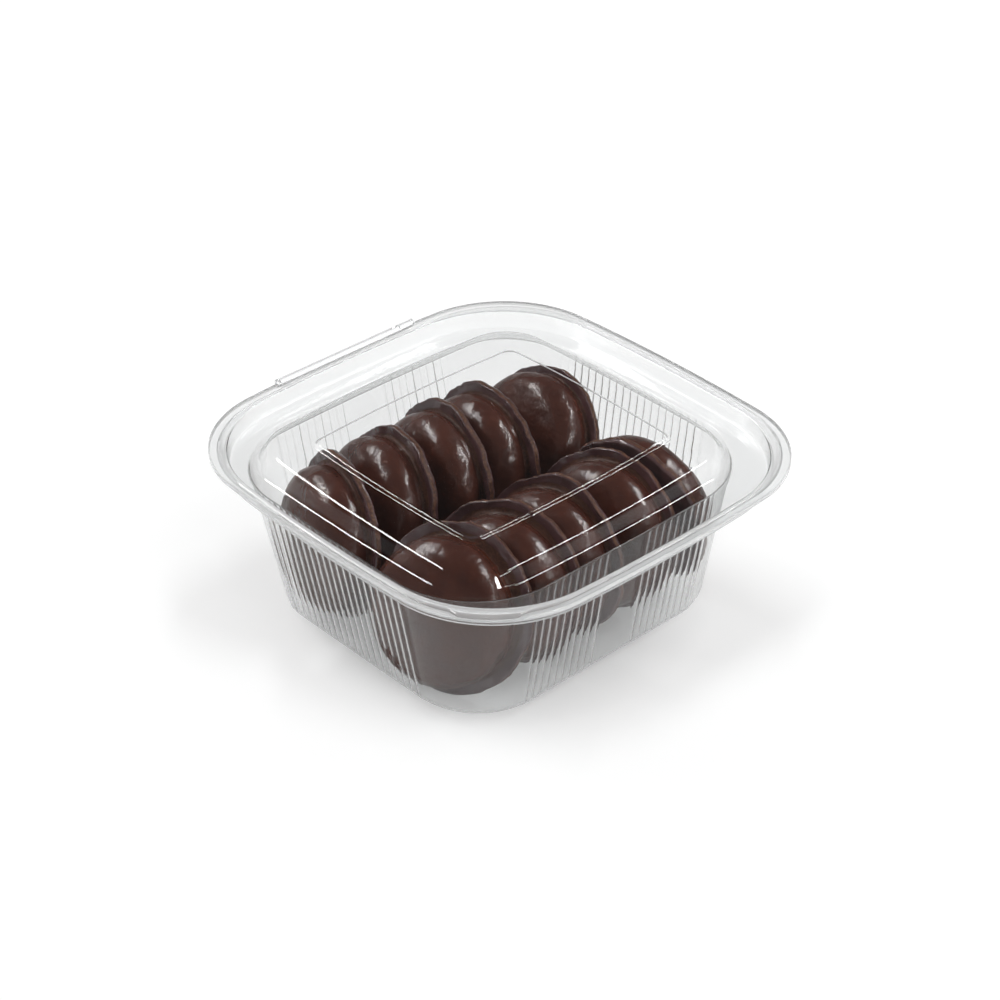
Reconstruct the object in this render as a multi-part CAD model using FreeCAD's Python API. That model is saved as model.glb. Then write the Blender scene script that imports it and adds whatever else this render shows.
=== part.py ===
"""A clear hinged clamshell pack: a fluted tray, a flat-domed lid on a fold hinge, and the biscuits in it.

Millimetres. +Z is up, the origin is at the middle of the rim, on the plane that the tray stands on.
The hinge is at the back (+Y) and the thumb tab at one front corner (-X, -Y).
"""
import FreeCAD
import Part
import math
import os
from collections import namedtuple
from FreeCAD import Vector

# Overall sizes of the pack
pack_width = 150.0
pack_depth = 150.7
rim_height = 55.9
sheet = 0.45
fit_gap = 0.3
eps = 0.01
cut_margin = 1.0

# Rim of the tray: an upturned lip round a flat flange
rim_corner = 37.2
rim_bow = 665.0
lip_rise = 1.2

# Pocket in the tray's mouth that the lid's plug wall drops into
pocket_inset_x = 3.6
pocket_inset_y = 3.6
pocket_corner = 38.5
pocket_shift = 0.4
pocket_depth = 5.4
pocket_draft = 0.8

# Body of the tray below the pocket, and the level it stands on
mouth_inset_x = 11.0
mouth_inset_y = 15.3
mouth_corner = 31.5
mouth_shift = 4.0
base_inset_x = 19.5
base_inset_y = 24.5
base_corner = 23.0
base_shift = 2.1
base_round = 4.0

# Flutes pressed into the body's walls
flute_depth = 0.5
flute_foot_share = 0.3
flutes_on_side = 21
flutes_in_group = 10
flute_reach_front = 2.0
flute_reach_back = 8.0
flute_reach_side = 5.0
plain_panel = 14.6

# Lid: flange, plug wall, moat floor, low dome and raised middle panel
lid_edge_inset = 1.9
lid_edge_corner = 36.2
dome_foot_inset_x = 15.4
dome_foot_inset_y = 19.6
dome_foot_corner = 20.0
dome_foot_bow = 1100.0
dome_shift = 3.1
dome_edge_inset_x = 18.9
dome_edge_inset_y = 22.1
dome_edge_corner = 15.0
dome_edge_bow = 520.0
dome_edge_drop = 0.8
shoulder_inset_x = 23.4
shoulder_inset_y = 27.8
shoulder_corner = 10.7
shoulder_shift = 2.1
shoulder_drop = 0.1
panel_inset_x = 32.7
panel_inset_y = 38.0
panel_corner = 3.4
panel_bow = 622.0
panel_shift = 3.2
panel_rise = 1.1
panel_draft = 0.9

# Fold hinge: an open tube of the same sheet along the back of the rim
hinge_radius = 1.5
hinge_setback = 0.75
hinge_left = -27.0
hinge_right = 30.0
hinge_notch_left = 21.4
hinge_notch_right = 23.8
hinge_open_start = 150.0

# Thumb tab at the front corner
tab_radius = 11.5
tab_reach = 2.6

# Biscuits: a thin round foot under a chocolate-coated dome, standing on edge
foot_radius = 26.3
foot_thickness = 2.2
waist_radius = 22.4
dome_radius = 23.0
biscuit_height_share = 0.316
foot_bevel = 0.6
side_height = 3.7
shoulder_radius = 8.0
rest_gap = 0.1
# Each biscuit in a row: the middle of its foot along the row, as a share of the flat floor's half length, and
# across it in millimetres, then its lean back from upright and its turn to one side, in degrees
back_row = ((-0.75, 29.2, 8, -14), (-0.32, 30.6, 13, -9), (0.107, 30.4, 9, -7), (0.437, 29.6, 12, -3),
            (0.864, 27.5, 26, -2))
front_row = ((-0.715, -21.8, 21, 18), (-0.32, -22.8, 12, 16), (0.049, -22.8, 12, 10), (0.485, -22.8, 15, 11))
# The last one in front is the other way round, and leans foot to foot on the one before it
turned_biscuit = (0.728, -23.0, -11, 8)

Level = namedtuple("Level", "half_x half_y corner bow shift z")


def level(inset_x, inset_y, corner, bow, shift, z):
    """One horizontal outline of the pack, given by how far it lies inside the rim."""
    return Level(pack_width / 2 - inset_x, pack_depth / 2 - inset_y, corner, bow, shift, z)


def inset(lv, distance, z=None):
    """The outline that runs parallel to another, inside it."""
    return Level(lv.half_x - distance, lv.half_y - distance, lv.corner - distance, lv.bow - distance,
                 lv.shift, lv.z if z is None else z)


def bowed_wire(lv):
    """Rounded rectangle whose sides are long arcs, tangent to its corner arcs."""
    side_x = Vector(lv.half_x - lv.bow, 0, 0)
    side_y = Vector(0, lv.half_y - lv.bow, 0)
    reach = lv.bow - lv.corner
    across = side_y - side_x
    rise = math.sqrt(reach ** 2 - across.Length ** 2 / 4)
    normal = Vector(-across.y, across.x, 0).normalize()
    middle = (side_x + side_y) * 0.5
    centre = middle + normal * rise
    if centre.x < 0 or centre.y < 0:
        centre = middle - normal * rise
    turn_x = math.atan2(centre.y, centre.x - side_x.x)
    turn_y = math.atan2(centre.y - side_y.y, centre.x)

    def corner_point(angle):
        return centre + Vector(math.cos(angle), math.sin(angle), 0) * lv.corner

    start, mid, end = (corner_point(a) for a in (turn_x, (turn_x + turn_y) / 2, turn_y))
    edges = []
    for sx, sy in ((1, 1), (-1, 1), (-1, -1), (1, -1)):
        points = [Vector(p.x * sx, p.y * sy + lv.shift, lv.z) for p in (start, mid, end)]
        if sx * sy < 0:
            points.reverse()
        edges.append(points)
    tips = [Vector(0, lv.half_y + lv.shift, lv.z), Vector(-lv.half_x, lv.shift, lv.z),
            Vector(0, -lv.half_y + lv.shift, lv.z), Vector(lv.half_x, lv.shift, lv.z)]
    parts = []
    for k in range(4):
        parts.append(Part.Arc(*edges[k]).toShape())
        parts.append(Part.Arc(edges[k][2], tips[k], edges[(k + 1) % 4][0]).toShape())
    return Part.Wire(parts)


def loft(wires):
    return Part.makeLoft(wires, True, True)


def bowed_solid(*levels):
    return loft([bowed_wire(lv) for lv in levels])


def fluted_wire(lv, depth):
    """Straight-sided rounded rectangle with round flutes along its four walls."""
    cx, cy = lv.half_x - lv.corner, lv.half_y - lv.corner
    quarter = math.pi / 2

    def point(corner_index, angle, out=0.0):
        sx, sy = ((1, 1), (-1, 1), (-1, -1), (1, -1))[corner_index]
        radius = lv.corner + out
        return Vector(sx * cx + radius * math.cos(angle), sy * cy + radius * math.sin(angle) + lv.shift, lv.z)

    def wall(first, second, facing, reach_first, reach_second):
        """Point at a distance along the wall between two corners, with the outward side."""
        run = (point(second, facing) - point(first, facing)).Length

        def at(distance, out=0.0):
            if distance < 0:
                return point(first, facing + distance / lv.corner, out)
            if distance > run:
                return point(second, facing + (distance - run) / lv.corner, out)
            start, end = point(first, facing, out), point(second, facing, out)
            return start + (end - start) * (distance / run)
        return at, -reach_first, run + reach_second

    def flutes(at, begin, finish, count):
        step = (finish - begin) / count
        arcs = []
        for k in range(round(count)):
            s = begin + k * step
            arcs.append(Part.Arc(at(s), at(s + step / 2, depth), at(s + step)).toShape())
        return arcs

    edges = []
    turns = ((3, 0, 0.0, flute_reach_front, flute_reach_back, False),
             (0, 1, quarter, flute_reach_side, flute_reach_side, True),
             (1, 2, 2 * quarter, flute_reach_back, flute_reach_front, False),
             (2, 3, 3 * quarter, flute_reach_side, flute_reach_side, True))
    for k, (first, second, facing, reach_first, reach_second, grouped) in enumerate(turns):
        at, begin, finish = wall(first, second, facing, reach_first, reach_second)
        if grouped:
            middle = (begin + finish) / 2
            edges += flutes(at, begin, middle - plain_panel / 2, flutes_in_group)
            edges.append(Part.makeLine(at(middle - plain_panel / 2), at(middle + plain_panel / 2)))
            edges += flutes(at, middle + plain_panel / 2, finish, flutes_in_group)
        else:
            edges += flutes(at, begin, finish, flutes_on_side)
        leave = facing + reach_second / lv.corner
        join = facing + quarter - turns[(k + 1) % 4][3] / lv.corner
        edges.append(Part.Arc(point(second, leave), point(second, (leave + join) / 2),
                              point(second, join)).toShape())
    return Part.Wire(edges)


def box(x0, x1, y0, y1, z0, z1):
    return Part.makeBox(x1 - x0, y1 - y0, z1 - z0, Vector(x0, y0, z0))


# Heights that the two halves share
flange_top = rim_height - lip_rise
flange_under = flange_top - sheet
ledge_top = flange_top - pocket_depth
lid_under = flange_top + fit_gap
lid_top = lid_under + sheet
moat_under = ledge_top + fit_gap
moat_top = moat_under + sheet
hinge_y = pack_depth / 2 - hinge_setback
hinge_z = flange_under + hinge_radius
floor_half = pack_width / 2 - base_inset_x - base_round
biscuit_height = floor_half * biscuit_height_share

rim = level(0, 0, rim_corner, rim_bow, 0, rim_height)
pocket_bow = rim_bow - pocket_inset_x
pocket_mouth = level(pocket_inset_x, pocket_inset_y, pocket_corner, pocket_bow, pocket_shift, flange_top)
pocket_floor = inset(pocket_mouth, pocket_draft, ledge_top)


def body_levels(thickness):
    """Outlines of the tray's body, or of its inside when a thickness is given."""
    mouth = level(mouth_inset_x, mouth_inset_y, mouth_corner, 0, mouth_shift, ledge_top)
    base = level(base_inset_x, base_inset_y, base_corner, 0, base_shift, 0)
    found = []
    turns = 3
    for k in range(turns + 1):
        angle = math.radians(90 * k / turns)
        rise = base_round * (1 - math.cos(angle))
        cut = base_round * (1 - math.sin(angle))
        share = rise / ledge_top
        wall = [b + (m - b) * share for m, b in zip(mouth[:3], base[:3])]
        shift = base.shift + (mouth.shift - base.shift) * share
        fade = flute_foot_share + (1 - flute_foot_share) * k / turns
        found.append((Level(wall[0] - cut, wall[1] - cut, wall[2] - cut * 0.5, 0, shift, rise), fade))
    found.append((mouth, 1.0))
    return [(inset(lv, thickness, lv.z), fade) for lv, fade in found]


def body_solid(thickness, top, lift):
    levels = body_levels(thickness)
    mouth, fade = levels[-1]
    wires = []
    for k, (lv, depth_share) in enumerate(levels):
        z = max(lv.z, lift) if k == 0 else lv.z + lift * (1 - lv.z / ledge_top)
        wires.append(fluted_wire(lv._replace(z=z), flute_depth * depth_share))
    wires[-1] = fluted_wire(mouth._replace(z=top), flute_depth)
    return loft(wires)


def make_tray():
    flange = bowed_solid(rim._replace(z=flange_under), rim._replace(z=flange_top))
    lip = bowed_solid(rim._replace(z=flange_under), rim)
    low, high = flange_under - cut_margin, rim_height + cut_margin
    lip = lip.cut(bowed_solid(inset(rim, sheet, low), inset(rim, sheet, high)))
    lip = lip.cut(tab_disc(flange_top, high, fit_gap))
    pocket = bowed_solid(inset(pocket_floor, -sheet, ledge_top - sheet), inset(pocket_mouth, -sheet))
    tray = flange.fuse([lip, pocket, body_solid(0, ledge_top, 0)])
    hollow = bowed_solid(pocket_floor, inset(pocket_mouth, -eps, flange_top + eps))
    tray = tray.cut([hollow, body_solid(sheet, ledge_top + cut_margin, sheet)])
    behind = box(hinge_left, hinge_right, hinge_y, pack_depth, low, high)
    above = box(hinge_left, hinge_right, hinge_y - 2 * hinge_radius, pack_depth, flange_top, high)
    return tray.cut([behind, above]).removeSplitter()


def tab_disc(z0, z1, grow=0.0):
    """Upright disc that marks the thumb tab's place on the front corner of the rim."""
    along = (rim_corner * (1 - math.sqrt(0.5)) + tab_radius - tab_reach - sheet - fit_gap) * math.sqrt(0.5)
    x, y = -pack_width / 2 + along, -pack_depth / 2 + along
    return Part.makeCylinder(tab_radius + grow, z1 - z0, Vector(x, y, z0))


def make_lid():
    edge = level(lid_edge_inset, lid_edge_inset + sheet + fit_gap, lid_edge_corner,
                 rim_bow - lid_edge_inset, 0, lid_top)
    plate = bowed_solid(edge._replace(z=lid_under), edge)
    reach = inset(rim, sheet + fit_gap, lid_top)
    tab = bowed_solid(reach._replace(z=lid_under), reach).common(tab_disc(lid_under, lid_top))
    plug_mouth = inset(pocket_mouth, fit_gap, lid_under)
    plug_floor = inset(pocket_floor, fit_gap, moat_under)
    plug = bowed_solid(plug_floor, plug_mouth)
    moat = bowed_solid(inset(plug_floor, sheet, moat_top), inset(plug_mouth, sheet, lid_top + eps))

    foot = level(dome_foot_inset_x, dome_foot_inset_y, dome_foot_corner, dome_foot_bow, dome_shift, moat_top)
    dome_edge = level(dome_edge_inset_x, dome_edge_inset_y, dome_edge_corner, dome_edge_bow, dome_shift,
                      rim_height - dome_edge_drop)
    shoulder = level(shoulder_inset_x, shoulder_inset_y, shoulder_corner, dome_edge_bow, shoulder_shift,
                     rim_height - shoulder_drop)
    panel_foot = level(panel_inset_x - panel_draft, panel_inset_y - panel_draft, panel_corner + panel_draft,
                       panel_bow, panel_shift, shoulder.z)
    panel_top = level(panel_inset_x, panel_inset_y, panel_corner, panel_bow, panel_shift,
                      shoulder.z + panel_rise)
    dome = bowed_solid(foot._replace(z=moat_under), foot, dome_edge, shoulder)
    dome = dome.fuse(bowed_solid(panel_foot._replace(z=panel_foot.z - sheet / 2), panel_foot, panel_top))
    inner = [inset(lv, sheet, lv.z - sheet) for lv in (foot, dome_edge, shoulder, panel_foot, panel_top)]
    hollow = bowed_solid(inner[0]._replace(z=moat_under - cut_margin), inner[0], inner[1], inner[2])
    hollow = hollow.fuse(bowed_solid(inner[3]._replace(z=inner[3].z - sheet), inner[3], inner[4]))

    lid = plate.fuse([tab, plug]).cut(moat).fuse(dome).cut(hollow)
    back = box(-pack_width, pack_width, hinge_y - hinge_radius - fit_gap, pack_depth, 0, 2 * rim_height)
    return lid.cut(back).removeSplitter()


def make_hinge():
    """The folded tube: it leaves the tray's flange, runs up and over, and stops short of the lid."""
    def arc_points(radius):
        angles = (-90.0, (hinge_open_start - 90.0) / 2, hinge_open_start)
        return [Vector(hinge_left, hinge_y + radius * math.cos(math.radians(a)),
                       hinge_z + radius * math.sin(math.radians(a))) for a in angles]
    outer, inner = arc_points(hinge_radius), arc_points(hinge_radius - sheet)
    section = Part.Wire([Part.Arc(*outer).toShape(), Part.makeLine(outer[2], inner[2]),
                         Part.Arc(*inner).toShape(), Part.makeLine(inner[0], outer[0])])
    tube = Part.Face(section).extrude(Vector(hinge_right - hinge_left, 0, 0))
    notch = box(hinge_notch_left, hinge_notch_right, hinge_y - 2 * hinge_radius, pack_depth,
                hinge_z, hinge_z + 2 * hinge_radius)
    return tube.cut(notch)


def make_biscuit():
    """Biscuit about the X axis, its flat underside at x = 0 and its dome towards -X."""
    side = -foot_thickness - side_height
    shoulder = Vector(side, dome_radius - shoulder_radius, 0)
    # The crown is a sphere that the shoulder's round runs into without an edge
    reach = biscuit_height - shoulder_radius
    centre_x = (shoulder.x ** 2 + shoulder.y ** 2 - reach ** 2) / (2 * (shoulder.x + reach))
    centre = Vector(centre_x, 0, 0)
    crown_radius = centre_x + biscuit_height
    join = math.atan2(shoulder.y, shoulder.x - centre_x)

    def round_point(middle, radius, angle):
        return middle + Vector(math.cos(angle), math.sin(angle), 0) * radius

    crown_start = round_point(centre, crown_radius, join)
    crown_middle = round_point(centre, crown_radius, (join + math.pi) / 2)
    shoulder_middle = round_point(shoulder, shoulder_radius, (join + math.pi / 2) / 2)
    axis_foot, top = Vector(0, 0, 0), Vector(-biscuit_height, 0, 0)
    corners = (axis_foot, Vector(0, foot_radius - foot_bevel, 0), Vector(-foot_bevel, foot_radius, 0),
               Vector(-foot_thickness, foot_radius, 0), Vector(-foot_thickness, waist_radius, 0),
               Vector(side, dome_radius, 0))
    outline = [Part.makeLine(a, b) for a, b in zip(corners, corners[1:])]
    outline.append(Part.Arc(corners[-1], shoulder_middle, crown_start).toShape())
    outline.append(Part.Arc(crown_start, crown_middle, top).toShape())
    outline.append(Part.makeLine(top, axis_foot))
    return Part.Face(Part.Wire(outline)).revolve(axis_foot, Vector(1, 0, 0), 360)


def stand(biscuit, place, y, lean, turn, turned=False):
    """A copy of the biscuit leaned back, turned and set down on the tray's floor."""
    placed = biscuit.copy()
    if turned:
        placed.rotate(Vector(0, 0, 0), Vector(0, 0, 1), 180)
    placed.rotate(Vector(0, 0, 0), Vector(0, 1, 0), lean)
    placed.rotate(Vector(0, 0, 0), Vector(0, 0, 1), turn)
    lowest = placed.optimalBoundingBox(False).ZMin
    placed.translate(Vector(floor_half * place, y, sheet + rest_gap - lowest))
    return placed


parts = {"tray": make_tray(), "lid": make_lid(), "hinge_tube": make_hinge()}
biscuit = make_biscuit()
for row, places in (("back", back_row), ("front", front_row)):
    for number, place in enumerate(places, 1):
        parts["biscuit_%s_%d" % (row, number)] = stand(biscuit, *place)
parts["biscuit_front_5"] = stand(biscuit, *turned_biscuit, turned=True)

os.makedirs("parts", exist_ok=True)
for name, shape in parts.items():
    shape.exportStep("parts/" + name + ".step")
    print(name, "solids", len(shape.Solids), "valid", shape.isValid(), "volume", round(shape.Volume, 1),
          "faces", len(shape.Faces), "box", shape.BoundBox)
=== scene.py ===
# %% [markdown]
# # A clear clamshell pack with chocolate biscuits
# The pack is one thin clear sheet, formed into a fluted tray and a low domed lid, joined by a fold
# hinge. Ten biscuits stand on edge in it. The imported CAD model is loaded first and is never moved:
# every mesh below is made in the same place, in metres, and stands for one of its nodes.

# %% Load the frame
import bpy
import math
from collections import namedtuple
import numpy as np
from mathutils import Matrix, Vector, noise


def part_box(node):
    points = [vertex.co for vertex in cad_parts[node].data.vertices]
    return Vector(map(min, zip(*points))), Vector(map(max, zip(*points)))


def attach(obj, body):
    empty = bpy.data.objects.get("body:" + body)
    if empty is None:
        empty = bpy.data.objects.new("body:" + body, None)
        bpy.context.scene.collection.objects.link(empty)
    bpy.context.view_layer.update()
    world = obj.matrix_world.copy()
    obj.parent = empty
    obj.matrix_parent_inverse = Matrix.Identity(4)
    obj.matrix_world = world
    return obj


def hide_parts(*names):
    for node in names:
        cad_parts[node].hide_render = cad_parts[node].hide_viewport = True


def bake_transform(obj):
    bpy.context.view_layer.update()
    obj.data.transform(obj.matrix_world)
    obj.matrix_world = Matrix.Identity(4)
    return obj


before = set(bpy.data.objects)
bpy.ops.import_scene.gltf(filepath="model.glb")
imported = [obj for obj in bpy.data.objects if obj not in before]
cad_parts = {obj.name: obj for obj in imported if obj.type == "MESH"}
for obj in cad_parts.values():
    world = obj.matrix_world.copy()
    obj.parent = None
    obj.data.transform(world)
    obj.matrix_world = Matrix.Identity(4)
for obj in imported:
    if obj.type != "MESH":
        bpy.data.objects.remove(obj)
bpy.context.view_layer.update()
scene = bpy.context.scene
scene.view_settings.view_transform = "Standard"
MM = 0.001

# %% [markdown]
# ## Sizes shared by the two halves
# The tray's and the lid's own boxes give the rim, the heights and the width, so the looks follow
# the CAD. The sheet is 0.45 mm thick all over, like the CAD's, which is a little more than the
# real sheet may have, and 0.3 mm is left where the halves nest.

# %% Driving sizes, in millimetres
tray_low, tray_high = (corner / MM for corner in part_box("tray"))
lid_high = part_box("lid")[1] / MM
hinge_low, hinge_high = (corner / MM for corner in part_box("hinge_tube"))
HALF_WIDTH = tray_high.x
HALF_DEPTH = -tray_low.y
RIM_HEIGHT = tray_high.z
SHEET = 0.45
FIT_GAP = 0.3
LIP_RISE = 1.2
POCKET_DEPTH = 5.4
FLANGE_UNDER = RIM_HEIGHT - LIP_RISE - SHEET
LEDGE_UNDER = RIM_HEIGHT - LIP_RISE - POCKET_DEPTH - SHEET
LID_TOP = RIM_HEIGHT - LIP_RISE + FIT_GAP + SHEET
MOAT_TOP = LEDGE_UNDER + 2 * SHEET + FIT_GAP
print("rim height", RIM_HEIGHT, "moat", MOAT_TOP, "lid top", lid_high.z)

# %% [markdown]
# ## One outline at one height
# Each step of the pack is a rounded rectangle whose long sides bulge a little. It could be drawn
# as a curve and bevelled, but a formed sheet changes its corner radius at every step, so here an
# outline is a function that returns the same number of points for any radius. Rings made this way
# join into clean rows of quads.

# %% Points round an outline
Outline = namedtuple("Outline", "inset_x inset_y corner bow shift z")
STRAIGHT = 1e5


def ring_points(o, side, corner_steps):
    """Positions and outward normals round one outline, counter-clockwise from the +X side."""
    half_x, half_y = HALF_WIDTH - o.inset_x, HALF_DEPTH - o.inset_y
    side_x, side_y = np.array([half_x - o.bow, 0.0]), np.array([0.0, half_y - o.bow])
    across = side_y - side_x
    length = np.hypot(*across)
    rise = math.sqrt((o.bow - o.corner) ** 2 - length ** 2 / 4)
    centre = (side_x + side_y) / 2 - np.array([-across[1], across[0]]) / length * rise
    if centre[0] < 0 or centre[1] < 0:
        centre = (side_x + side_y) - centre
    turn_x = math.atan2(centre[1], centre[0] - side_x[0])
    turn_y = math.atan2(centre[1] - side_y[1], centre[0])
    arcs = [(side_x, o.bow, np.linspace(0, turn_x, side, endpoint=False)),
            (centre, o.corner, np.linspace(turn_x, turn_y, corner_steps, endpoint=False)),
            (side_y, o.bow, np.linspace(turn_y, math.pi / 2, side + 1))]
    quarter, normals = [], []
    for middle, radius, angles in arcs:
        facing = np.c_[np.cos(angles), np.sin(angles)]
        quarter.append(middle + radius * facing)
        normals.append(facing)

    def all_round(part):
        there, back = part[:-1], part[::-1][:-1]
        return np.vstack([there, back * (-1, 1), there * (-1, -1), back * (1, -1)])
    return all_round(np.vstack(quarter)) + np.array([0, o.shift]), all_round(np.vstack(normals))


print("points round a plain ring", len(ring_points(Outline(0, 0, 37, 665, 0, 0), 24, 24)[0]))

# %% [markdown]
# ## Rounding the steps
# A formed sheet has no sharp edge: every bend has a small radius, and that radius catches the
# light as a bright line. The steps below are given as corners of a profile, and this helper rounds
# each corner by mixing the three outlines that meet there, as a quadratic curve does.

# %% Round a profile of outlines
MOST_OF_A_RUN = 0.48
CENTRE_RINGS = (0.8, 0.55, 0.3, 0.1)


def mix(a, b, t):
    bow = 1 / ((1 - t) / a.bow + t / b.bow)
    mixed = [x + (y - x) * t for x, y in zip(a, b)]
    return Outline(*mixed)._replace(bow=bow)


def rounded(corners, steps=5):
    """corners is a list of (outline, radius): the same profile with each inner corner rounded."""
    result = [corners[0][0]]
    for (before, _), (here, radius), (after, _) in zip(corners, corners[1:], corners[2:]):
        def part(other):
            inward = (other.inset_x + other.inset_y - here.inset_x - here.inset_y) / 2
            return min(MOST_OF_A_RUN, radius / math.hypot(inward, other.z - here.z))
        start, end = mix(here, before, part(before)), mix(here, after, part(after))
        for k in range(steps + 1):
            t = k / steps
            result.append(mix(mix(start, here, t), mix(here, end, t), t))
    result.append(corners[-1][0])
    return result


def skin(name, rings, close_centre, rim_rings):
    """Quads between rings of equal length, closed in the middle if asked.

    The faces of the first rim_rings rings take the piece's second finish.
    """
    rings = [np.asarray(r) for r in rings]
    count = len(rings[0])
    if close_centre:
        last = rings[-1]
        middle = last.mean(0)
        rings += [middle + (last - middle) * s for s in CENTRE_RINGS]
    points = np.vstack(rings)
    faces = []
    for r in range(len(rings) - 1):
        a, b = r * count, (r + 1) * count
        faces += [(a + k, a + (k + 1) % count, b + (k + 1) % count, b + k) for k in range(count)]
    if close_centre:
        first = (len(rings) - 1) * count
        points = np.vstack([points, middle])
        faces += [(first + k, first + (k + 1) % count, len(points) - 1) for k in range(count)]
    mesh = bpy.data.meshes.new(name)
    mesh.from_pydata((points * MM).tolist(), [], faces)
    for face in mesh.polygons[:rim_rings * count]:
        face.material_index = 1
    piece = bpy.data.objects.new(name, mesh)
    scene.collection.objects.link(piece)
    return piece


def settle(piece):
    """Bakes the piece's modifiers into its mesh and shades it smooth."""
    bpy.context.view_layer.update()
    view = bpy.context.evaluated_depsgraph_get()
    shaped = bpy.data.meshes.new_from_object(piece.evaluated_get(view))
    piece.modifiers.clear()
    piece.data = shaped
    piece.data.shade_smooth()
    print(piece.name, len(piece.data.polygons), "faces")
    return piece


def thicken(piece, offset):
    """Gives the formed skin the sheet's thickness, on the side that offset says."""
    solid = piece.modifiers.new("sheet", "SOLIDIFY")
    solid.thickness = SHEET * MM
    solid.offset = offset
    solid.use_even_offset = True
    return settle(piece)


# %% [markdown]
# ## Flutes
# The tray's walls are pressed into upright flutes that stiffen them. Each is a shallow round with
# a sharp valley between it and the next. A wave of the distance along the wall gives them; the
# short walls have a plain panel in the middle, and the flutes run a little way round each corner
# before they stop.

# %% How far each point of a wall stands out
FLUTE_DEPTH = 0.6
TRAY_SIDE, TRAY_CORNER = 72, 72
MOUTH = Outline(11.0, 15.3, 31.5, STRAIGHT, 4.0, LEDGE_UNDER)
BASE = Outline(19.5, 24.5, 23.0, STRAIGHT, 2.1, 0.0)
PLAIN_PANEL = 14.6
REACH_FRONT, REACH_BACK, REACH_END = 2.0, 8.0, 5.0
FLUTES_ON_SIDE, FLUTES_IN_GROUP = 21, 10


def bump(share):
    return np.where((share > 0) & (share < 1), 4 * share * (1 - share), 0.0)


def flute_wave():
    """From 0 in a valley to 1 on a flute's crest, for each point round the tray's wall."""
    xy, _ = ring_points(MOUTH, TRAY_SIDE, TRAY_CORNER)
    steps = np.hypot(*(np.roll(xy, -1, 0) - xy).T)
    along, total = np.r_[0, np.cumsum(steps)[:-1]], steps.sum()
    wave = np.zeros(len(xy))
    for wall in range(4):
        middle = along[wall * len(xy) // 4]
        away = (along - middle + total / 2) % total - total / 2
        on_side = wall % 2 == 0
        run = (HALF_DEPTH - MOUTH.inset_y if on_side else HALF_WIDTH - MOUTH.inset_x) - MOUTH.corner
        if on_side:
            reach = (REACH_FRONT, REACH_BACK) if wall == 0 else (REACH_BACK, REACH_FRONT)
            begin, finish = -run - reach[0], run + reach[1]
            groups = [(begin, finish, FLUTES_ON_SIDE)]
        else:
            groups = [(-run - REACH_END, -PLAIN_PANEL / 2, FLUTES_IN_GROUP),
                      (PLAIN_PANEL / 2, run + REACH_END, FLUTES_IN_GROUP)]
        for begin, finish, count in groups:
            share = (away - begin) / (finish - begin)
            inside = (share > 0) & (share < 1)
            wave += np.where(inside, bump(np.clip(share, 0, 1) * count % 1.0), 0.0)
    return wave


wave = flute_wave()
print("flute points", int((wave > 0).sum()), "of", len(wave))

# %% [markdown]
# ## The tray
# The skin below is the tray's outer side, from the top of its lip down to the middle of its floor.
# The lip is a thin upturned edge, the flange lies flat inside it, and the pocket under the flange
# is where the lid's plug wall drops in. The body then narrows down to a base with a soft round
# edge.

# %% Tray
POCKET_INSET, POCKET_CORNER, POCKET_BOW = 3.6, 38.5, 661.4
POCKET_SHIFT = 0.4
RIM = Outline(0, 0, 37.2, 665.0, 0, RIM_HEIGHT)
POCKET = Outline(POCKET_INSET - SHEET, POCKET_INSET - SHEET, POCKET_CORNER + SHEET,
                 POCKET_BOW + SHEET, POCKET_SHIFT, FLANGE_UNDER)
POCKET_DRAFT = 0.8
POCKET_FOOT = Outline(POCKET.inset_x + POCKET_DRAFT, POCKET.inset_y + POCKET_DRAFT,
                      POCKET.corner - POCKET_DRAFT, POCKET.bow - POCKET_DRAFT,
                      POCKET_SHIFT, LEDGE_UNDER)
BASE_ROUND = 4.0
FLOOR_RINGS = (3.0, 12.0)
FLOOR_CORNER_SHARE = 0.6


def tray_profile():
    flat = rounded([(RIM, 0), (RIM._replace(z=FLANGE_UNDER), 0.5), (POCKET, 0.6),
                    (POCKET_FOOT, 0.8), (MOUTH, 1.0), (mix(MOUTH, BASE, 0.5), 0)])[:-1]
    wall = [mix(MOUTH, BASE, t) for t in np.linspace(0.06, 0.86, 9)]
    turn = []
    for angle in np.radians(np.linspace(0, 90, 9)):
        cut = BASE_ROUND * (1 - math.cos(angle))
        drop = mix(MOUTH, BASE, 1 - BASE_ROUND * (1 - math.sin(angle)) / LEDGE_UNDER)
        turn.append(Outline(drop.inset_x + cut, drop.inset_y + cut, drop.corner - cut / 2,
                            STRAIGHT, drop.shift, BASE_ROUND * (1 - math.sin(angle))))
    edge = turn[-1]
    floor_rings = [edge._replace(inset_x=edge.inset_x + d, inset_y=edge.inset_y + d,
                                 corner=edge.corner - d * FLOOR_CORNER_SHARE)
                   for d in FLOOR_RINGS]
    return flat + wall + turn + floor_rings


def smooth_share(value, low, high):
    t = min(1.0, max(0.0, (value - low) / (high - low)))
    return t * t * (3 - 2 * t)


FLUTE_FOOT, FLUTE_HEAD = 4.5, 1.6
TAB_HALF, TAB_FLANK = 11.0, 4.0
HINGE_RADIUS = 1.5
HINGE_Y = hinge_high.y - HINGE_RADIUS


def tab_share(xy):
    """1 along the thumb tab at the front left corner, falling to 0 at its flanks."""
    to_corner = HALF_WIDTH - RIM.corner * (1 - math.sqrt(0.5))
    corner = np.array([-1.0, -HALF_DEPTH / HALF_WIDTH]) * to_corner
    away = np.hypot(*(xy - corner).T)
    return np.array([smooth_share(TAB_HALF + TAB_FLANK / 2 - a, 0, TAB_FLANK) for a in away])


def beside_hinge(xy):
    """True for the points that lie along the fold hinge."""
    return (xy[:, 1] > 0) & (xy[:, 0] > hinge_low.x) & (xy[:, 0] < hinge_high.x)


TRAY_RIM_RINGS = 9


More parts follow.
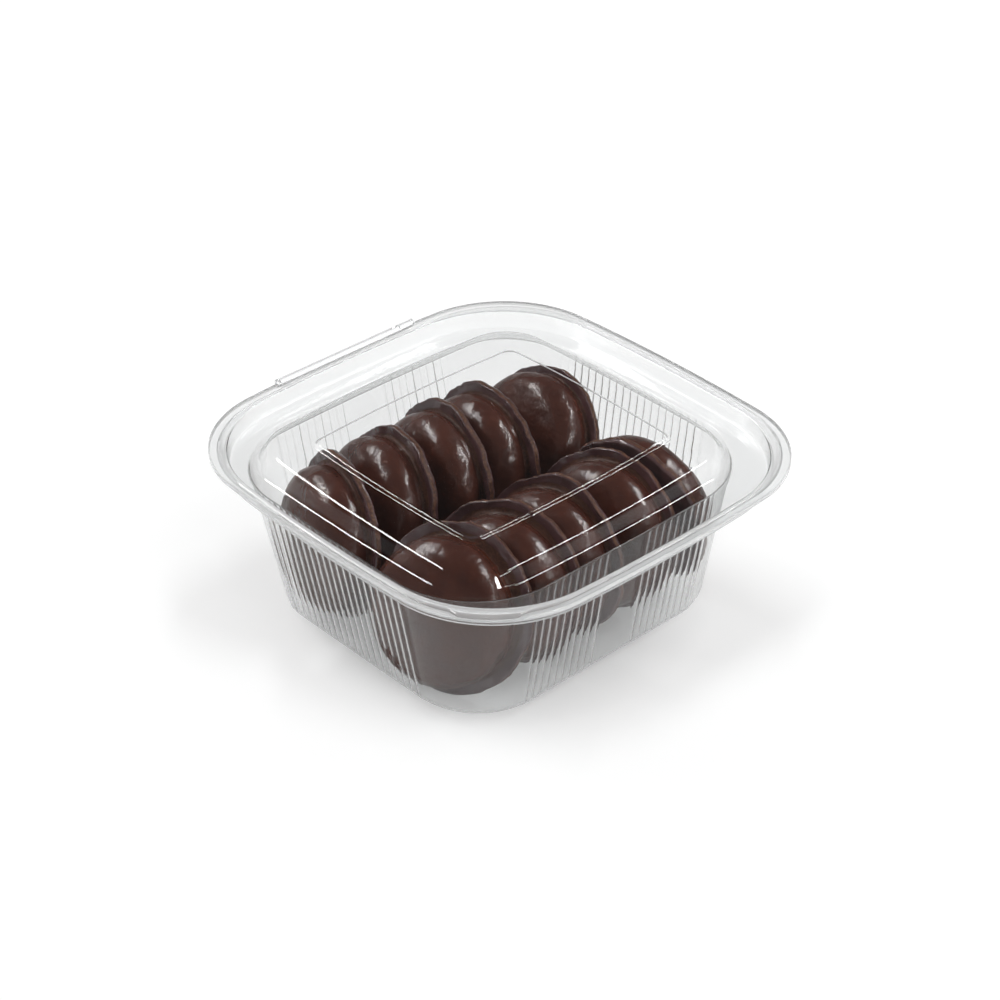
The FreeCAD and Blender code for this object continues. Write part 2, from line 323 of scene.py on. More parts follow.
def make_tray():
    rings = []
    for o in tray_profile():
        xy, facing = ring_points(o, TRAY_SIDE, TRAY_CORNER)
        strength = (smooth_share(o.z, 0.0, FLUTE_FOOT)
                    * smooth_share(LEDGE_UNDER - o.z, 0.0, FLUTE_HEAD))
        xy = xy + facing * (wave * strength * FLUTE_DEPTH)[:, None]
        heights = np.full(len(xy), o.z)
        if o.z > FLANGE_UNDER + SHEET:
            cut_down = np.maximum(tab_share(xy), beside_hinge(xy))
            heights -= cut_down * (o.z - FLANGE_UNDER - SHEET)
        if o.z > FLANGE_UNDER - SHEET:
            xy[:, 1] = np.where(beside_hinge(xy), np.minimum(xy[:, 1], HINGE_Y), xy[:, 1])
        rings.append(np.c_[xy, heights])
    return thicken(skin("tray_sheet", rings, True, TRAY_RIM_RINGS), 1)


tray = make_tray()

# %% [markdown]
# ## The lid
# The lid's skin is its top side. Outside is a narrow flange that lies in the tray's lip; the plug
# wall drops from it into the pocket, the moat runs round at the bottom, and the low dome rises
# again to a raised middle panel. At the front corner the flange widens to a thumb tab for pulling
# the pack open.

# %% Lid
LID_SIDE, LID_CORNER = 48, 48
LID_EDGE_INSET = 1.9
LID_EDGE = Outline(LID_EDGE_INSET, LID_EDGE_INSET + SHEET + FIT_GAP, 36.2, 663.1, 0, LID_TOP)
PLUG_INSET = POCKET_INSET + FIT_GAP + SHEET
PLUG = Outline(PLUG_INSET, PLUG_INSET, POCKET_CORNER - FIT_GAP - SHEET, POCKET_BOW,
               POCKET_SHIFT, LID_TOP)
PLUG_FOOT = Outline(PLUG_INSET + POCKET_DRAFT, PLUG_INSET + POCKET_DRAFT,
                    PLUG.corner - POCKET_DRAFT, 660.0, POCKET_SHIFT, MOAT_TOP)
DOME_FOOT = Outline(15.4, 19.6, 20.0, 1100.0, 3.1, MOAT_TOP)
DOME_EDGE = Outline(18.9, 22.1, 15.0, 520.0, 3.1, RIM_HEIGHT - 0.8)
SHOULDER = Outline(23.4, 27.8, 10.7, 520.0, 2.1, RIM_HEIGHT - 0.1)
PANEL_FOOT = Outline(31.8, 37.1, 4.3, 622.0, 3.2, RIM_HEIGHT - 0.1)
PANEL = Outline(32.7, 38.0, 3.4, 622.0, 3.2, lid_high.z)
PANEL_INNER = PANEL._replace(inset_x=42.0, inset_y=47.0, corner=2.0)
TAB_REACH = 1.75
LID_RIM_RINGS = 3


def make_lid():
    profile = rounded([(LID_EDGE, 0), (PLUG, 0.7), (PLUG_FOOT, 0.9), (DOME_FOOT, 1.2),
                       (DOME_EDGE, 1.4), (SHOULDER, 1.6), (PANEL_FOOT, 0.5), (PANEL, 0.5),
                       (PANEL_INNER, 0)])
    rings = []
    for k, o in enumerate(profile):
        xy, facing = ring_points(o, LID_SIDE, LID_CORNER)
        if k == 0:
            xy = xy + facing * (tab_share(xy) * TAB_REACH)[:, None]
        rings.append(np.c_[xy, np.full(len(xy), o.z)])
    return thicken(skin("lid_sheet", rings, True, LID_RIM_RINGS), -1)


lid = make_lid()

# %% [markdown]
# ## The fold hinge
# The two halves are one sheet, folded over at the back into an open tube. Its mesh stays where it
# is made and rides with neither half.

# %% Hinge tube
HINGE_NOTCH = (21.4, 23.8)
HINGE_END_ANGLE = 150.0


def make_hinge():
    axis_z = hinge_low.z + HINGE_RADIUS
    angles = np.radians(np.linspace(-90, HINGE_END_ANGLE, 25))
    stations = np.unique(np.r_[np.linspace(hinge_low.x, hinge_high.x, 58), HINGE_NOTCH])
    points = [(x, HINGE_Y + HINGE_RADIUS * math.cos(a), axis_z + HINGE_RADIUS * math.sin(a))
              for x in stations for a in angles]
    count = len(angles)
    faces = []
    for i in range(len(stations) - 1):
        in_notch = HINGE_NOTCH[0] <= stations[i] < HINGE_NOTCH[1]
        for j in range(count - 1):
            if not (in_notch and angles[j] >= 0):
                here, there = i * count + j, (i + 1) * count + j
                faces.append((here, there, there + 1, here + 1))
    mesh = bpy.data.meshes.new("fold_hinge")
    mesh.from_pydata([tuple(c * MM for c in p) for p in points], [], faces)
    piece = bpy.data.objects.new("fold_hinge", mesh)
    scene.collection.objects.link(piece)
    return thicken(piece, 1)


hinge = make_hinge()

# %% [markdown]
# ## The biscuits
# Each biscuit is a thin round foot with a dome of coated filling on it, dipped whole in chocolate.
# A lathe form would be too perfect, so the profile is turned and then pushed about with noise: the
# foot's edge wanders and curls, the coating sags in soft waves on the dome, and the dome seldom
# sits in the middle of its foot.

# %% One biscuit about the X axis, its foot at x = 0 and its dome towards -X
FOOT_RADIUS, FOOT_THICKNESS, FOOT_BEVEL = 26.3, 2.2, 0.6
WAIST_RADIUS, DOME_RADIUS = 22.4, 23.0
BISCUIT_HEIGHT, SIDE_HEIGHT, SHOULDER_RADIUS = 16.27, 3.7, 8.0
AROUND = 180


def arc(middle, radius, begin, end, steps):
    angles = np.linspace(begin, end, steps)
    return [(middle[0] + radius * math.cos(a), middle[1] + radius * math.sin(a)) for a in angles]


def biscuit_profile():
    """(x, radius, zone) from the middle of the underside to the top of the dome."""
    edge = FOOT_RADIUS - FOOT_BEVEL
    top = -FOOT_THICKNESS
    side = top - SIDE_HEIGHT
    shoulder = (side, DOME_RADIUS - SHOULDER_RADIUS)
    reach = BISCUIT_HEIGHT - SHOULDER_RADIUS
    centre = (shoulder[0] ** 2 + shoulder[1] ** 2 - reach ** 2) / (2 * (shoulder[0] + reach))
    crown = centre + BISCUIT_HEIGHT
    join = math.atan2(shoulder[1], shoulder[0] - centre)
    under, upper, quarter = (-FOOT_BEVEL, edge), (top + FOOT_BEVEL, edge), math.pi / 2
    foot = [(0.0, r) for r in np.linspace(0.5, edge - 0.4, 12)]
    foot += arc(under, FOOT_BEVEL, 0, quarter, 4)
    rim = arc(upper, FOOT_BEVEL, quarter, math.pi * 0.66, 3)
    ledge = arc(upper, FOOT_BEVEL, math.pi * 0.74, math.pi, 3)
    ledge += [(top, r) for r in np.linspace(edge - 0.2, WAIST_RADIUS + 0.9, 6)]
    crease = [(top - 0.2, WAIST_RADIUS + 0.3), (top - 0.8, WAIST_RADIUS),
              (top - 1.4, WAIST_RADIUS + 0.15)]
    dome = list(zip(np.linspace(top - 2.0, side, 4),
                    np.linspace(WAIST_RADIUS + 0.35, DOME_RADIUS, 4)))
    dome += arc(shoulder, SHOULDER_RADIUS, quarter, join, 14)[1:]
    dome += arc((centre, 0), crown, join, math.pi - 0.012, 18)[1:]
    parts = ((foot, "foot"), (rim, "rim"), (ledge, "foot"), (crease, "crease"), (dome, "dome"))
    return [(x, r, zone) for part, zone in parts for x, r in part]


print("rows in a biscuit's profile", len(biscuit_profile()))

# %% [markdown]
# The foot's edge wanders in and out and curls up, and the dome sags. Each wave round the edge is
# given by its height in mm, its number of lobes and the layer of the noise that it is read from;
# each sag by its fineness and height.

# %% The uneven biscuit
ZONES = ("dome", "foot", "crease", "rim")
MOST_GROWTH, MOST_CURL = 0.25, 0.2
CURL_ABOVE, CURL_BELOW = 0.9, 0.5
SAGS = ((0.09, 0.4), (0.2, 0.18))
CREASE_FINENESS, CREASE_HEIGHT = 0.9, 0.3
EDGE_SHARPNESS = 10
SEED_STEPS = (7.3, 3.1, 1.7)
DOME_SHARE = {"foot": 0.0, "rim": 0.0, "crease": 0.8, "dome": 1.0}
EDGE_WAVES = ((1.9, 4, 0), (0.8, 12, 3), (0.35, 45, 6))
CURL_START, CURL_WAVES = -0.4, ((1.3, 5, 9), (0.9, 16, 12))


def lobes(origin, turn, lobe_count, height):
    """Smooth noise round the rim with about this many lobes."""
    span = lobe_count / math.pi
    return noise.noise(origin + Vector((math.cos(turn) * span, math.sin(turn) * span, height)))


def waves_round(origin, angles, start, waves):
    return [sum((share * lobes(origin, a, count, layer) for share, count, layer in waves), start)
            for a in angles]


def biscuit_mesh(name, seed, dome_shift):
    rows = biscuit_profile()
    origin = Vector([seed * step for step in SEED_STEPS])
    angles = [2 * math.pi * k / AROUND for k in range(AROUND)]
    wander = waves_round(origin, angles, 0.0, EDGE_WAVES)
    curl = waves_round(origin, angles, CURL_START, CURL_WAVES)
    points = []
    for x, r, zone in rows:
        edge = min(1.0, (r / FOOT_RADIUS)) ** EDGE_SHARPNESS
        offset = DOME_SHARE[zone]
        for k, turn in enumerate(angles):
            here = Vector((x, r * math.cos(turn), r * math.sin(turn)))
            sag = sum(noise.noise(origin + here * fineness) * share for fineness, share in SAGS)
            if zone in ("foot", "rim"):
                grow = edge * (wander[k] - 0.5)
                lift = (edge * (CURL_ABOVE if x < -0.1 else CURL_BELOW)
                        * min(curl[k], MOST_CURL))
            elif zone == "crease":
                grow = CREASE_HEIGHT * noise.noise(origin + here * CREASE_FINENESS)
                lift = 0.0
            else:
                grow = sag + edge * 0.5 * wander[k]
                lift = -sag * (1 - min(1.0, r / DOME_RADIUS))
            radius = r + min(grow, MOST_GROWTH) if r > 1 else r
            points.append((x + lift, radius * math.cos(turn) + offset * dome_shift[0],
                           radius * math.sin(turn) + offset * dome_shift[1]))
    faces, zones = [], []
    for i in range(len(rows) - 1):
        for k in range(AROUND):
            here, after = i * AROUND + k, i * AROUND + (k + 1) % AROUND
            faces.append((here, after, after + AROUND, here + AROUND))
            zones.append(rows[i + 1][2])
    last = (len(rows) - 1) * AROUND
    for first, x, zone, offset in ((0, 0.0, "foot", 0.0), (last, rows[-1][0], "dome", 1.0)):
        points.append((x, offset * dome_shift[0], offset * dome_shift[1]))
        for k in range(AROUND):
            here, after = first + k, first + (k + 1) % AROUND
            pair = (after, here) if first == 0 else (here, after)
            faces.append((*pair, len(points) - 1))
            zones.append(zone)
    mesh = bpy.data.meshes.new(name)
    mesh.from_pydata([tuple(c * MM for c in p) for p in points], [], faces)
    for face, zone in zip(mesh.polygons, zones):
        face.material_index = ZONES.index(zone)
    return mesh


# %% [markdown]
# The biscuits lean back on each other like books on a shelf, and one has slumped. Lean, turn and
# how far the dome sits off the middle of its foot are read along each row. The true round form,
# leaned and turned in the same way, is set in the box of the CAD node, and the uneven biscuit goes
# to the same place.

# %% Stand the biscuits in the tray
TRAY_FLOOR = SHEET + 0.07
STANDING = {"back": ((8, -14, 0.6, -1.2), (13, -9, 1.6, -1.3), (9, -7, 0.3, -0.4),
                     (12, -3, 0.5, -0.7), (26, -2, 0.7, 0.2)),
            "front": ((21, 18, 2.4, -1.5), (12, 16, -0.8, -1.6), (12, 10, 0.0, -1.4),
                      (15, 11, -0.9, -1.1), (-11, 8, 0.0, -0.5))}
TURNED_ROUND = "biscuit_front_5"
biscuits = []


def clean_middle(turned_to):
    """Middle of the box round the true form, so that it can be set in the CAD node's box."""
    corners = [turned_to @ Vector((x * MM, r * MM * math.cos(a), r * MM * math.sin(a)))
               for x, r, _ in biscuit_profile() for a in np.linspace(0, 2 * math.pi, 181)]
    spread = np.array(corners)
    return Vector((spread.min(0) + spread.max(0)) / 2)


for row, poses in STANDING.items():
    for number, (lean, turn, aside, up) in enumerate(poses, 1):
        node = "biscuit_%s_%d" % (row, number)
        low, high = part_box(node)
        seed = number + (len(poses) if row == "front" else 0)
        mesh = biscuit_mesh("choc_" + node, seed, (aside, up))
        stand = (Matrix.Rotation(math.radians(turn), 4, "Z")
                 @ Matrix.Rotation(math.radians(lean), 4, "Y"))
        if node == TURNED_ROUND:
            stand = stand @ Matrix.Rotation(math.pi, 4, "Z")
        mesh.transform(Matrix.Translation((low + high) / 2 - clean_middle(stand)) @ stand)
        for vertex in mesh.vertices:
            vertex.co.z = max(vertex.co.z, TRAY_FLOOR * MM)
        mesh.shade_smooth()
        piece = bpy.data.objects.new("choc_" + node, mesh)
        scene.collection.objects.link(piece)
        biscuits.append((piece, node))
print(len(biscuits), "biscuits,", len(biscuits[0][0].data.polygons), "faces each")

# %% [markdown]
# ## Materials
# Formed sheet is never quite flat: it carries slow ripples from the heat and a fine haze. All the
# clear finishes use the same ripple, so it is a node group with its own scale, and each finish
# sets how much of it shows. Low down the tray's sheet also has the fine dimples that sparkle along
# its foot in the photo.

# %% Node helpers


def new_group(name, inputs, outputs):
    group = bpy.data.node_groups.new(name, "ShaderNodeTree")
    for label, kind, value in inputs:
        socket = group.interface.new_socket(name=label, in_out="INPUT", socket_type=kind)
        socket.default_value = value
    for label, kind in outputs:
        group.interface.new_socket(name=label, in_out="OUTPUT", socket_type=kind)
    return group, group.nodes.new("NodeGroupInput"), group.nodes.new("NodeGroupOutput")


def new_material(name):
    material = bpy.data.materials.new(name)
    material.use_nodes = True
    nodes = material.node_tree.nodes
    return material, nodes, material.node_tree.links, nodes["Principled BSDF"]


def math_node(nodes, links, operation, *values, clamp=True):
    step = nodes.new("ShaderNodeMath")
    step.operation = operation
    step.use_clamp = clamp
    for slot, value in zip(step.inputs, values):
        if isinstance(value, float):
            slot.default_value = value
        else:
            links.new(value, slot)
    return step.outputs["Value"]


def map_range(nodes, links, value, begin, end, low, high):
    step = nodes.new("ShaderNodeMapRange")
    for label, number in (("From Min", begin), ("From Max", end),
                          ("To Min", low), ("To Max", high)):
        step.inputs[label].default_value = number
    links.new(value, step.inputs["Value"])
    return step.outputs["Result"]


def bump_node(nodes, links, shader, height, strength, distance):
    relief = nodes.new("ShaderNodeBump")
    relief.inputs["Strength"].default_value = strength
    relief.inputs["Distance"].default_value = distance
    links.new(height, relief.inputs["Height"])
    links.new(relief.outputs["Normal"], shader.inputs["Normal"])


# %% Ripples of the sheet
DIMPLE_SCALE = 500.0
DIMPLES_FULL_BELOW, DIMPLES_END = 0.0008, 0.004


def ripple_group():
    group, given, result = new_group(
        "sheet_ripple",
        [("Slow Scale", "NodeSocketFloat", 45.0), ("Dimple Share", "NodeSocketFloat", 0.1)],
        [("Height", "NodeSocketFloat")])
    nodes, links = group.nodes, group.links
    coords, split = nodes.new("ShaderNodeTexCoord"), nodes.new("ShaderNodeSeparateXYZ")
    slow, fine = nodes.new("ShaderNodeTexNoise"), nodes.new("ShaderNodeTexNoise")
    for reader in (slow, fine, split):
        links.new(coords.outputs["Object"], reader.inputs["Vector"])
    slow.inputs["Detail"].default_value = fine.inputs["Detail"].default_value = 1.0
    fine.inputs["Scale"].default_value = DIMPLE_SCALE
    links.new(given.outputs["Slow Scale"], slow.inputs["Scale"])
    low_down = map_range(nodes, links, split.outputs["Z"], DIMPLES_FULL_BELOW, DIMPLES_END,
                         1.0, 0.0)
    share = math_node(nodes, links, "MULTIPLY", low_down, given.outputs["Dimple Share"])
    dimples = math_node(nodes, links, "MULTIPLY", fine.outputs["Fac"], share)
    total = math_node(nodes, links, "ADD", dimples, slow.outputs["Fac"], clamp=False)
    links.new(total, result.inputs["Height"])
    return group


ripple = ripple_group()
print("group", ripple.name, "with", len(ripple.nodes), "nodes")

# %% [markdown]
# Clear sheet is a plain glass-like shader on a skin that has a thickness. A renderer takes such a
# sheet for opaque when it looks for a lamp, so shadow rays and soft light go straight through with
# a slight tint, as a real sheet lets them in. A ray caught between the two faces of the sheet is
# let out too, or it would end as a black line.

# %% Clear sheet
MOST_INNER_BOUNCES = 2.5
SHEET_IOR = 1.45
SHEET_TINT, THROUGH_TINT = (0.985, 0.99, 0.99, 1), (0.94, 0.945, 0.945, 1)
RIPPLE_HEIGHT = 0.0006


def clear_sheet(name, clearness, roughness, ripples, slow_scale, dimple_share):
    material, nodes, links, shader = new_material(name)
    shader.inputs["Base Color"].default_value = SHEET_TINT
    shader.inputs["Transmission Weight"].default_value = clearness
    shader.inputs["Roughness"].default_value = roughness
    shader.inputs["IOR"].default_value = SHEET_IOR
    waves = nodes.new("ShaderNodeGroup")
    waves.node_tree = ripple
    waves.inputs["Slow Scale"].default_value = slow_scale
    waves.inputs["Dimple Share"].default_value = dimple_share
    bump_node(nodes, links, shader, waves.outputs["Height"], ripples, RIPPLE_HEIGHT)
    path = nodes.new("ShaderNodeLightPath")
    through, either = nodes.new("ShaderNodeBsdfTransparent"), nodes.new("ShaderNodeMixShader")
    trapped = math_node(nodes, links, "GREATER_THAN", path.outputs["Glossy Depth"],
                        MOST_INNER_BOUNCES)
    unbent = math_node(nodes, links, "ADD", path.outputs["Is Shadow Ray"],
                       path.outputs["Is Diffuse Ray"])
    through.inputs["Color"].default_value = THROUGH_TINT
    links.new(math_node(nodes, links, "ADD", unbent, trapped), either.inputs["Fac"])
    links.new(shader.outputs["BSDF"], either.inputs[1])
    links.new(through.outputs["BSDF"], either.inputs[2])
    links.new(either.outputs["Shader"], nodes["Material Output"].inputs["Surface"])
    return material


lid_finish = clear_sheet("clear_lid_sheet", clearness=1.0, roughness=0.01, ripples=0.22,
                         slow_scale=38.0, dimple_share=0.0)
tray_finish = clear_sheet("clear_tray_sheet", clearness=1.0, roughness=0.0, ripples=0.3,
                          slow_scale=60.0, dimple_share=0.6)
rim_sheet_finish = clear_sheet("clear_rim_sheet", clearness=0.7, roughness=0.06, ripples=0.3,
                               slow_scale=60.0, dimple_share=0.0)
fold_finish = clear_sheet("clear_fold_sheet", clearness=1.0, roughness=0.0, ripples=0.0,
                          slow_scale=38.0, dimple_share=0.0)
print("clear finishes use", ripple.name, "with", ripple.users, "users")

# %% [markdown]
# Chocolate is dark and warm, with a satin skin. Its tone drifts, its skin has fine ripples, and
# where the coating is thin over the biscuit's edge the crumb shows through in a dry orange brown.
# Tone and crumb are one group, used by all four finishes with different shares. On the foot the
# tone drifts from dark brown to lilac-brown patches, which are a painted sheen.

# %% Chocolate tones
GRAIN_SCALE, GRAIN_HEIGHT_SHARE = 1500.0, 0.004
SPECKS_BEGIN, SPECKS_FULL = 0.42, 0.62
CRUMB_ROUGHNESS = 0.8
COATING_HEIGHT = 0.0012


def chocolate_group():
    group, given, result = new_group(
        "chocolate_tone",
        [("Deep", "NodeSocketColor", (0.03, 0.011, 0.007, 1)),
         ("Warm", "NodeSocketColor", (0.085, 0.033, 0.02, 1)),
         ("Crumb", "NodeSocketColor", (0.3, 0.13, 0.055, 1)),
         ("Crumb Share", "NodeSocketFloat", 0.0), ("Scale", "NodeSocketFloat", 110.0)],
        [("Color", "NodeSocketColor"), ("Height", "NodeSocketFloat"),
         ("Crumb Mask", "NodeSocketFloat")])
    nodes, links = group.nodes, group.links
    coords = nodes.new("ShaderNodeTexCoord")
    drift, grain = nodes.new("ShaderNodeTexNoise"), nodes.new("ShaderNodeTexNoise")
    for texture in (drift, grain):
        texture.inputs["Detail"].default_value = 3.0
        links.new(coords.outputs["Object"], texture.inputs["Vector"])
    grain.inputs["Scale"].default_value = GRAIN_SCALE
    links.new(given.outputs["Scale"], drift.inputs["Scale"])
    tone, dry = nodes.new("ShaderNodeMix"), nodes.new("ShaderNodeMix")
    tone.data_type = dry.data_type = "RGBA"
    links.new(drift.outputs["Fac"], tone.inputs["Factor"])
    links.new(given.outputs["Deep"], tone.inputs["A"])
    links.new(given.outputs["Warm"], tone.inputs["B"])
    specks = map_range(nodes, links, grain.outputs["Fac"], SPECKS_BEGIN, SPECKS_FULL, 0.0, 1.0)
    mask = math_node(nodes, links, "MULTIPLY", specks, given.outputs["Crumb Share"])
    links.new(mask, dry.inputs["Factor"])
    links.new(tone.outputs["Result"], dry.inputs["A"])
    links.new(given.outputs["Crumb"], dry.inputs["B"])
    height = math_node(nodes, links, "MULTIPLY_ADD", grain.outputs["Fac"], GRAIN_HEIGHT_SHARE,
                       drift.outputs["Fac"], clamp=False)
    links.new(dry.outputs["Result"], result.inputs["Color"])
    links.new(height, result.inputs["Height"])
    links.new(mask, result.inputs["Crumb Mask"])
    return group


chocolate_tone = chocolate_group()


def chocolate(name, deep, warm, roughness, gloss, crumb_share, scale, relief):
    material, nodes, links, shader = new_material(name)
    tone = nodes.new("ShaderNodeGroup")
    tone.node_tree = chocolate_tone
    for label, value in (("Deep", (*deep, 1)), ("Warm", (*warm, 1)), ("Crumb Share", crumb_share),
                         ("Scale", scale)):
        tone.inputs[label].default_value = value
    rough = map_range(nodes, links, tone.outputs["Crumb Mask"], 0.0, 1.0, roughness,
                      CRUMB_ROUGHNESS)
    links.new(tone.outputs["Color"], shader.inputs["Base Color"])
    links.new(rough, shader.inputs["Roughness"])
    bump_node(nodes, links, shader, tone.outputs["Height"], relief, COATING_HEIGHT)
    shader.inputs["Specular IOR Level"].default_value = gloss
    return material


dome_finish = chocolate("chocolate_dome", (0.036, 0.0098, 0.0062), (0.102, 0.029, 0.0165),
                        roughness=0.25, gloss=0.45, crumb_share=0.0, scale=130.0, relief=0.7)
# The foot's lilac-brown Warm colour is a painted sheen: reflected light mixed into its tone.
foot_finish_with_painted_sheen = chocolate("chocolate_foot", (0.03, 0.011, 0.011), (0.14, 0.066, 0.068),
                        roughness=0.2, gloss=0.9, crumb_share=0.0, scale=100.0, relief=1.0)
# The crease gets darker browns than the dome: painted shade in its groove, with a few real crumb
# specks.
crease_finish_with_painted_shade = chocolate("chocolate_crease", (0.03, 0.01, 0.007), (0.07, 0.024, 0.014),
                          roughness=0.4, gloss=0.2, crumb_share=0.1, scale=240.0, relief=0.4)
rim_finish = chocolate("biscuit_crumb", (0.045, 0.016, 0.011), (0.08, 0.03, 0.018),
                       roughness=0.5, gloss=0.25, crumb_share=0.25, scale=300.0, relief=0.5)
print("chocolate finishes use", chocolate_tone.name, "with", chocolate_tone.users, "users")

# %% [markdown]
# ## Which piece stands for which node
# The biscuits and the tray ride with the tray's body and the lid with its own. The fold hinge is
# left where it is made and rides with neither.

# %% Put finishes and bodies on the pieces
for piece, node in biscuits:
    for finish in (dome_finish, foot_finish_with_painted_sheen, crease_finish_with_painted_shade, rim_finish):
        piece.data.materials.append(finish)
    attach(piece, "tray_body")
    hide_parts(node)
for piece, node, finish, body in ((tray, "tray", tray_finish, "tray_body"),
                                  (lid, "lid", lid_finish, "lid_body")):
    piece.data.materials.append(finish)
    piece.data.materials.append(rim_sheet_finish)
    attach(piece, body)
    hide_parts(node)
hinge.data.materials.append(fold_finish)
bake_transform(hinge)
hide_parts("hinge_tube")
print("finishes on", len(biscuits) + 3, "pieces")

# %% [markdown]
# ## Room, lamps and camera
# The pack stands on white, so it shows mostly by its edges. The world and the floor are pure white
# where the camera sees them, also through the sheet. What the sheet mirrors is a room that is
# white near the floor and dark above, because a white ceiling would lie like fog on the lid. As a
# source of light the room is plainer still.

# %% The world
HORIZON, CEILING = 0.08, 0.45
SOFT_ROOM, MIRRORED_ROOM = (0.5, 0.18), (1.0, 0.04)
TWO_FACES = 2.0


def ray_kinds(nodes, links):
    """Two masks: rays that the camera sends straight or through the sheet, and mirrored rays."""
    path = nodes.new("ShaderNodeLightPath").outputs
    bounced = math_node(nodes, links, "ADD", path["Diffuse Depth"], path["Glossy Depth"])
    through = math_node(nodes, links, "SUBTRACT", path["Is Transmission Ray"], bounced)
    straight = math_node(nodes, links, "ADD", path["Is Camera Ray"], through)
    past_sheet = math_node(nodes, links, "SUBTRACT", path["Transmission Depth"], TWO_FACES)
    off_food = math_node(nodes, links, "MULTIPLY", past_sheet, path["Glossy Depth"])
    either = math_node(nodes, links, "ADD", path["Is Glossy Ray"], path["Is Transmission Ray"])
    not_food = math_node(nodes, links, "SUBTRACT", either, off_food)
    mirrored = math_node(nodes, links, "SUBTRACT", not_food, path["Diffuse Depth"])
    return straight, mirrored


def blend_values(nodes, links, share, first, second):
    step = nodes.new("ShaderNodeMix")
    links.new(share, step.inputs["Factor"])
    for slot, value in (("A", first), ("B", second)):
        if isinstance(value, float):
            step.inputs[slot].default_value = value
        else:
            links.new(value, step.inputs[slot])
    return step.outputs["Result"]


world = bpy.data.worlds.new("white_room")
scene.world = world
world.use_nodes = True
nodes, links = world.node_tree.nodes, world.node_tree.links
sky, split = nodes.new("ShaderNodeTexCoord"), nodes.new("ShaderNodeSeparateXYZ")
links.new(sky.outputs["Generated"], split.inputs["Vector"])
straight, mirrored = ray_kinds(nodes, links)
soft_light, mirror_light = (map_range(nodes, links, split.outputs["Z"], HORIZON, CEILING, *room)
                            for room in (SOFT_ROOM, MIRRORED_ROOM))
unseen = blend_values(nodes, links, mirrored, soft_light, mirror_light)
nodes["Background"].inputs["Color"].default_value = (1, 1, 1, 1)
links.new(blend_values(nodes, links, straight, unseen, 1.0),
          nodes["Background"].inputs["Strength"])

# %% [markdown]
# The paper glows a little where the camera sees it, so that it turns out white while it still
# keeps the shadow. Right under the pack it glows less, which is painted shade set by the distance
# from the middle, and far away it glows more, so that a view from low down has no grey horizon.

# %% The white paper
FLOOR_HALF, FLOOR_Z = 3.0, -0.0002
PAPER_TONE = 0.74
PAPER_GLOW, PAINTED_SHADE_GLOW, FAR_GLOW = 0.4, 0.12, 0.5
PAINTED_SHADE_FROM, PAINTED_SHADE_TO = 0.03, 0.068
FAR_FROM, FAR_TO = 0.4, 1.5
MIRRORED_SHARE = 0.6

floor_mesh = bpy.data.meshes.new("floor")
floor_corners = [(x * FLOOR_HALF, y * FLOOR_HALF, FLOOR_Z)
                 for x, y in ((-1, -1), (1, -1), (1, 1), (-1, 1))]
floor_mesh.from_pydata(floor_corners, [], [(0, 1, 2, 3)])
floor = bpy.data.objects.new("floor", floor_mesh)
scene.collection.objects.link(floor)
paper, nodes, links, shader = new_material("white_paper")
shader.inputs["Base Color"].default_value = (PAPER_TONE, PAPER_TONE, PAPER_TONE, 1)
shader.inputs["Roughness"].default_value = 1.0
shader.inputs["Specular IOR Level"].default_value = 0.0
shader.inputs["Emission Color"].default_value = (1, 1, 1, 1)
straight, mirrored = ray_kinds(nodes, links)
in_mirror = math_node(nodes, links, "MULTIPLY", mirrored, MIRRORED_SHARE)
shown = math_node(nodes, links, "ADD", straight, in_mirror)
place, away = nodes.new("ShaderNodeTexCoord"), nodes.new("ShaderNodeVectorMath")
away.operation = "LENGTH"
links.new(place.outputs["Object"], away.inputs[0])
# Painted shade: the paper's glow drops near its middle, under the pack.
glow_with_painted_shade = map_range(nodes, links, away.outputs["Value"], PAINTED_SHADE_FROM, PAINTED_SHADE_TO,
                      PAINTED_SHADE_GLOW, PAPER_GLOW)
far_glow = map_range(nodes, links, away.outputs["Value"], FAR_FROM, FAR_TO, 0.0, FAR_GLOW)
glow = math_node(nodes, links, "ADD", glow_with_painted_shade, far_glow)
links.new(math_node(nodes, links, "MULTIPLY", shown, glow), shader.inputs["Emission Strength"])
floor_mesh.materials.append(paper)
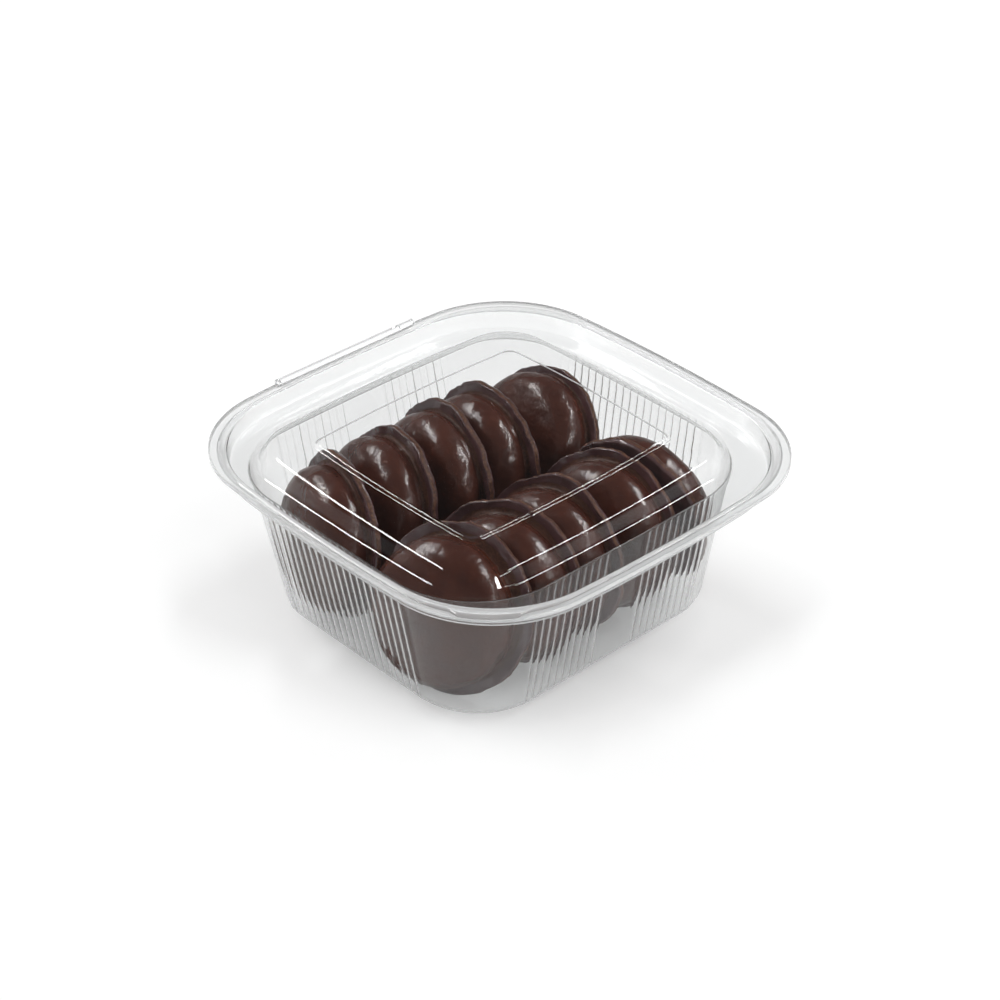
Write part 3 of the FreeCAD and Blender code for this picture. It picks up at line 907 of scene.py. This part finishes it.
print("paper", 2 * FLOOR_HALF, "m wide")

# %% [markdown]
# Three soft boxes stand round the pack, all long and narrow. The one behind and the one on the
# right are mirrored along the steps of the lid as thin white streaks, and the one in front puts a
# narrow band of light on the right of every dome.

# %% Lamps
TARGET = Vector((0.0, 0.0, 0.02923))


def lamp(name, place, size, watts):
    data = bpy.data.lights.new(name, "AREA")
    data.shape = "ELLIPSE"
    data.size, data.size_y = size
    data.energy = watts
    lamp_object = bpy.data.objects.new(name, data)
    lamp_object.location = place
    lamp_object.rotation_euler = (TARGET - Vector(place)).to_track_quat("-Z", "Y").to_euler()
    lamp_object.visible_camera = False
    scene.collection.objects.link(lamp_object)


lamp("back_strip", (-0.30, 0.68, 0.82), size=(0.9, 0.14), watts=6.0)
lamp("right_strip", (0.64, -0.44, 0.88), size=(0.7, 0.14), watts=5.0)
lamp("front_strip", (0.12, -0.98, 0.62), size=(0.7, 0.03), watts=2.5)
print(len(bpy.data.lights), "lamps")

# %% [markdown]
# ## Camera
# The photograph looks down on the thumb-tab corner from about arm's length with a long lens. A
# camera aims along its own -Z, so its axes are set as a matrix from the azimuth and elevation.

# %% Camera
AZIMUTH, ELEVATION = math.radians(-42.8), math.radians(34.35)
DISTANCE = 0.81225
SENSOR_WIDTH, FOCAL_LENGTH = 36.0, 93.6
SHIFT_X, SHIFT_Y = 0.0009, 0.0173
back = Vector((math.sin(AZIMUTH) * math.cos(ELEVATION), -math.cos(AZIMUTH) * math.cos(ELEVATION),
               math.sin(ELEVATION)))
right = Vector((math.cos(AZIMUTH), math.sin(AZIMUTH), 0))
camera_data = bpy.data.cameras.new("camera")
camera_data.sensor_width = SENSOR_WIDTH
camera_data.lens = FOCAL_LENGTH
camera_data.shift_x, camera_data.shift_y = SHIFT_X, SHIFT_Y
camera = bpy.data.objects.new("camera", camera_data)
scene.collection.objects.link(camera)
axes = Matrix((right, back.cross(right), back)).transposed().to_4x4()
camera.matrix_world = Matrix.Translation(TARGET + back * DISTANCE) @ axes
scene.camera = camera
